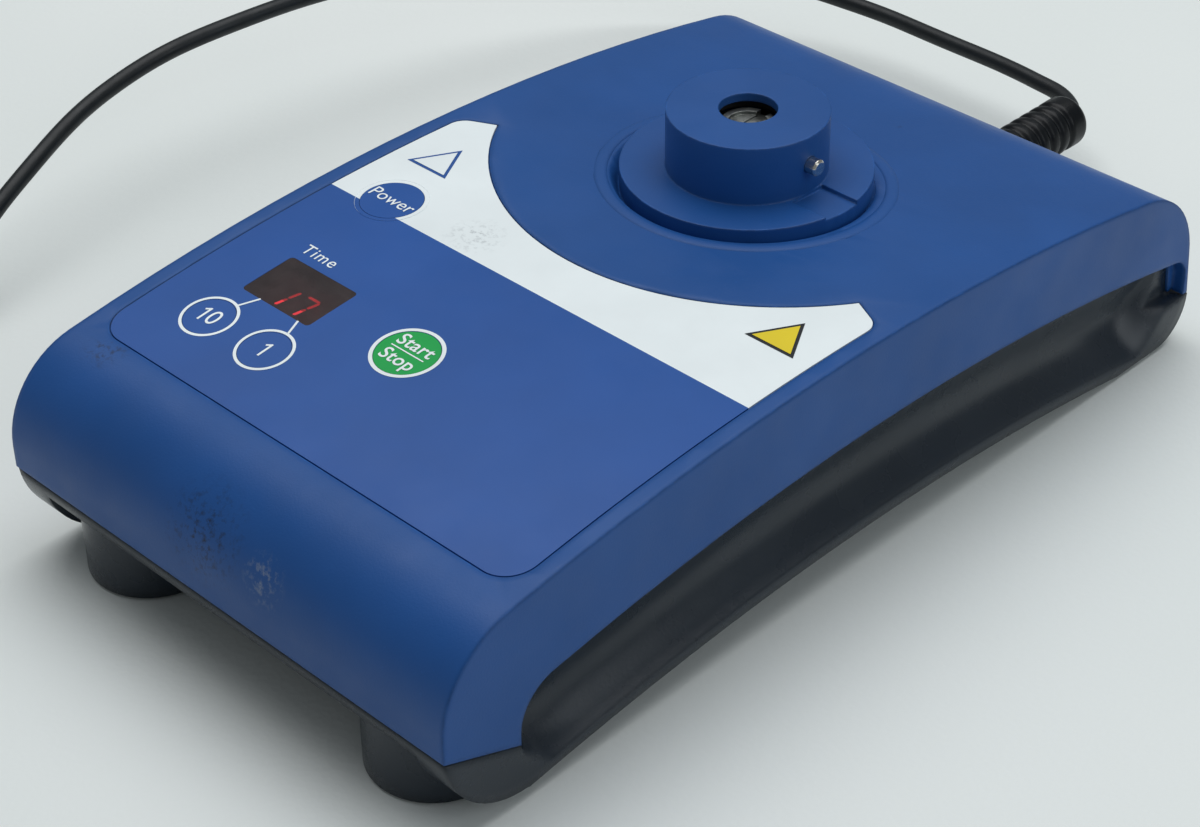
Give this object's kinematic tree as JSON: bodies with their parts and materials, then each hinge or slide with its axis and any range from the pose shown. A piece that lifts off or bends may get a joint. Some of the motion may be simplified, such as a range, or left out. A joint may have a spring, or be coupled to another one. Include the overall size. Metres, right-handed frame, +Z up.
{
  "type": "tube mixing drive",
  "caption": "Bench-top mixing drive with an arched housing, printed control foil with press keys, and a bayonet collar over a motor spindle.",
  "frame": {"origin": "on the spindle axis, in the plane of the collar's top face where a tube holder locks on; the bench is 53.7 mm below", "axes": "+Z up along the spindle, +Y to the rear where the power lead leaves, +X to the right as seen from the keys"},
  "size_m": [0.1783, 0.2251, 0.0537],
  "materials": {
    "cover_blue": "fine satin moulded plastic, mid blue",
    "tray_grey": "semi-gloss dark grey moulded plastic",
    "foil_print": "satin printed control foil, white and blue",
    "key_print": "satin printed key, blue with a white ring",
    "key_green": "satin printed key, green",
    "window_red": "dark red tinted clear window",
    "display_black": "black display block with red segments",
    "switch_black": "black moulded plastic",
    "board_green": "green solder mask",
    "connector_white": "natural nylon",
    "capacitor_can": "sleeved aluminium cans",
    "screw_steel": "zinc plated steel",
    "polished_steel": "ground steel",
    "head_steel": "turned steel with worn rim",
    "seal_rubber": "black rubber",
    "rotor_iron": "laminated core with lacquered windings",
    "commutator_copper": "copper segments",
    "motor_steel": "drawn steel can and plate",
    "magnet_dark": "ferrite",
    "wire_red": "insulated wires",
    "lead_black": "soft black cable sheath",
    "plate_silver": "blank anodised plate"
  },
  "bodies": {
    "housing": {"top_cover": "cover_blue", "base_tray": "tray_grey", "control_foil": "foil_print", "display_window": "window_red", "display_module": "display_black", "key_switches": "switch_black", "control_board": "board_green", "board_screws": "screw_steel", "processor_chip": "switch_black", "board_capacitors": "capacitor_can", "motor_driver": "switch_black", "board_connectors": "connector_white", "tube_collar": "cover_blue", "collar_screws": "screw_steel", "locking_pin": "polished_steel", "spindle_seal": "seal_rubber", "bearing_outer_ring": "polished_steel", "motor_can": "motor_steel", "motor_magnets": "magnet_dark", "motor_end_bell": "connector_white", "motor_bracket": "motor_steel", "motor_screws": "screw_steel", "bracket_bushes": "seal_rubber", "bracket_screws": "screw_steel", "motor_wires": "wire_red", "supply_wires": "wire_red", "dc_socket": "switch_black", "socket_pin": "polished_steel", "foot_pads": "seal_rubber", "housing_screws": "screw_steel", "rating_plate": "plate_silver"},
    "spindle": {"spindle_shaft": "polished_steel", "rotor_core": "rotor_iron", "commutator": "commutator_copper", "drive_head": "head_steel", "drive_head_grub_screw": "screw_steel", "bearing_inner_ring": "polished_steel"},
    "power_button": {"power_key": "key_print"},
    "tens_button": {"tens_key": "key_print"},
    "units_button": {"units_key": "key_print"},
    "start_stop_button": {"start_stop_key": "key_green"},
    "lead": {"plug_barrel": "polished_steel", "strain_relief": "lead_black", "power_cable": "lead_black"}
  },
  "joints": [
    {"name": "spindle_turn", "type": "hinge", "parent": "housing", "child": "spindle", "pos_m": [0, 0, 0], "axis": [0, 0, 1], "continuous": true},
    {"name": "power_press", "type": "slide", "parent": "housing", "child": "power_button", "axis": [0, 0.0344, -0.9994], "range_m": [0, 0.0004], "stiffness_N_per_m": 900},
    {"name": "tens_press", "type": "slide", "parent": "housing", "child": "tens_button", "axis": [0, 0.1247, -0.9922], "range_m": [0, 0.0004], "stiffness_N_per_m": 900},
    {"name": "units_press", "type": "slide", "parent": "housing", "child": "units_button", "axis": [0, 0.1247, -0.9922], "range_m": [0, 0.0004], "stiffness_N_per_m": 900},
    {"name": "start_stop_press", "type": "slide", "parent": "housing", "child": "start_stop_button", "axis": [0, 0.0948, -0.9955], "range_m": [0, 0.0004], "stiffness_N_per_m": 900},
    {"name": "lead_unplug", "type": "slide", "parent": "housing", "child": "lead", "axis": [0, 1, 0], "range_m": [0, 0.012]}
  ]
}
